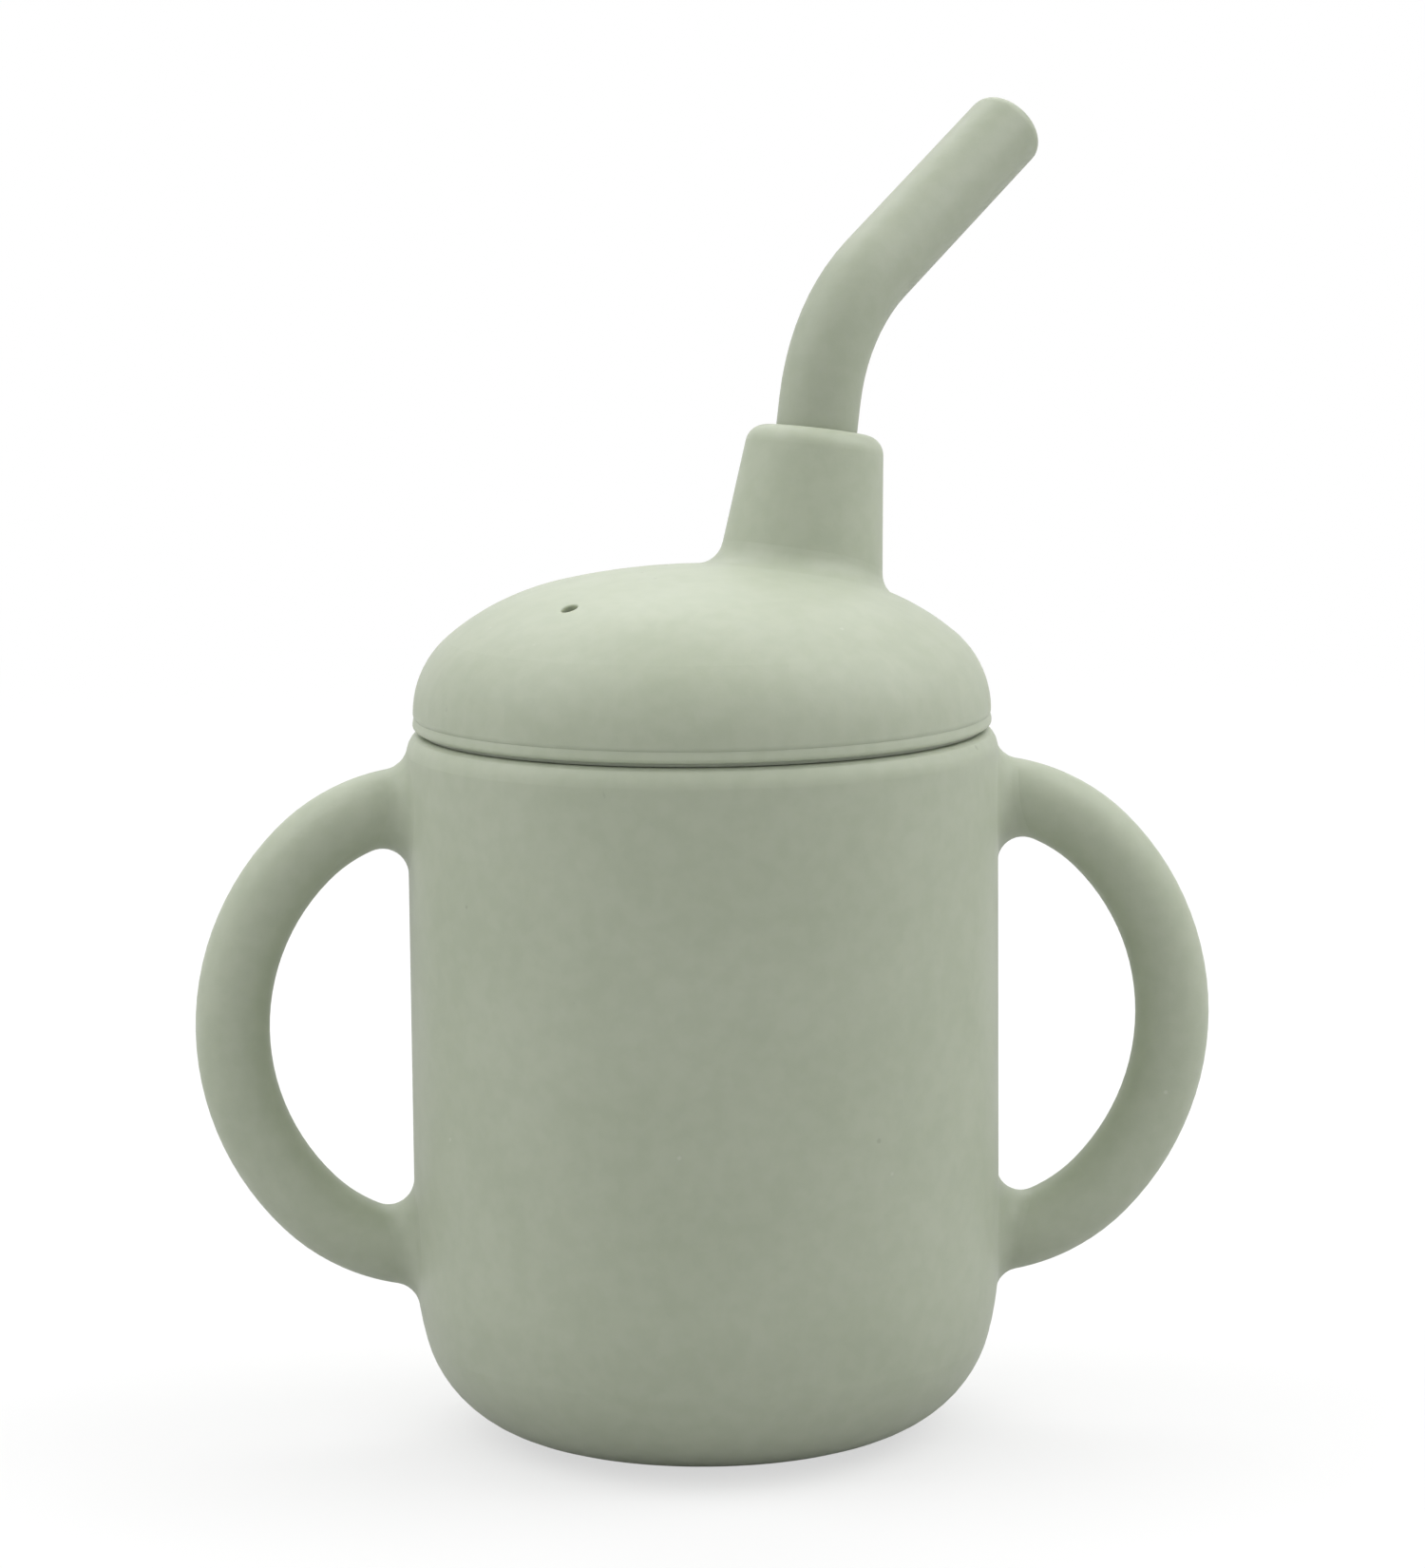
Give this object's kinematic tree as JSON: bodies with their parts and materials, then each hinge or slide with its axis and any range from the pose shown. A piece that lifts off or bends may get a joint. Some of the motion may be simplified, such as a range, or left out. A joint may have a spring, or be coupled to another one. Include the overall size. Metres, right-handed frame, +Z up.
{
  "type": "sippy cup",
  "caption": "Silicone training cup with two loop handles, a domed plug-in lid with a leaning spout and vent, and a bent straw that swivels in the spout.",
  "frame": {"origin": "centre of the cup's flat base, on the surface it stands on", "axes": "+Z up along the cup's axis, handles along X; the spout and straw lean towards +X and +Y"},
  "size_m": [0.1212, 0.0749, 0.1577],
  "materials": {
    "silicone": "matte sage-green silicone"
  },
  "bodies": {
    "cup": {"cup": "silicone"},
    "lid": {"lid": "silicone"},
    "straw": {"straw": "silicone"}
  },
  "joints": [
    {"name": "lid_lift", "type": "slide", "parent": "cup", "child": "lid", "axis": [0, 0, 1], "range_m": [0, 0.09]},
    {"name": "straw_swivel", "type": "hinge", "parent": "lid", "child": "straw", "pos_m": [0.01299, 0.0115, 0.104], "axis": [0.1301, 0.1151, 0.9848], "continuous": true}
  ]
}
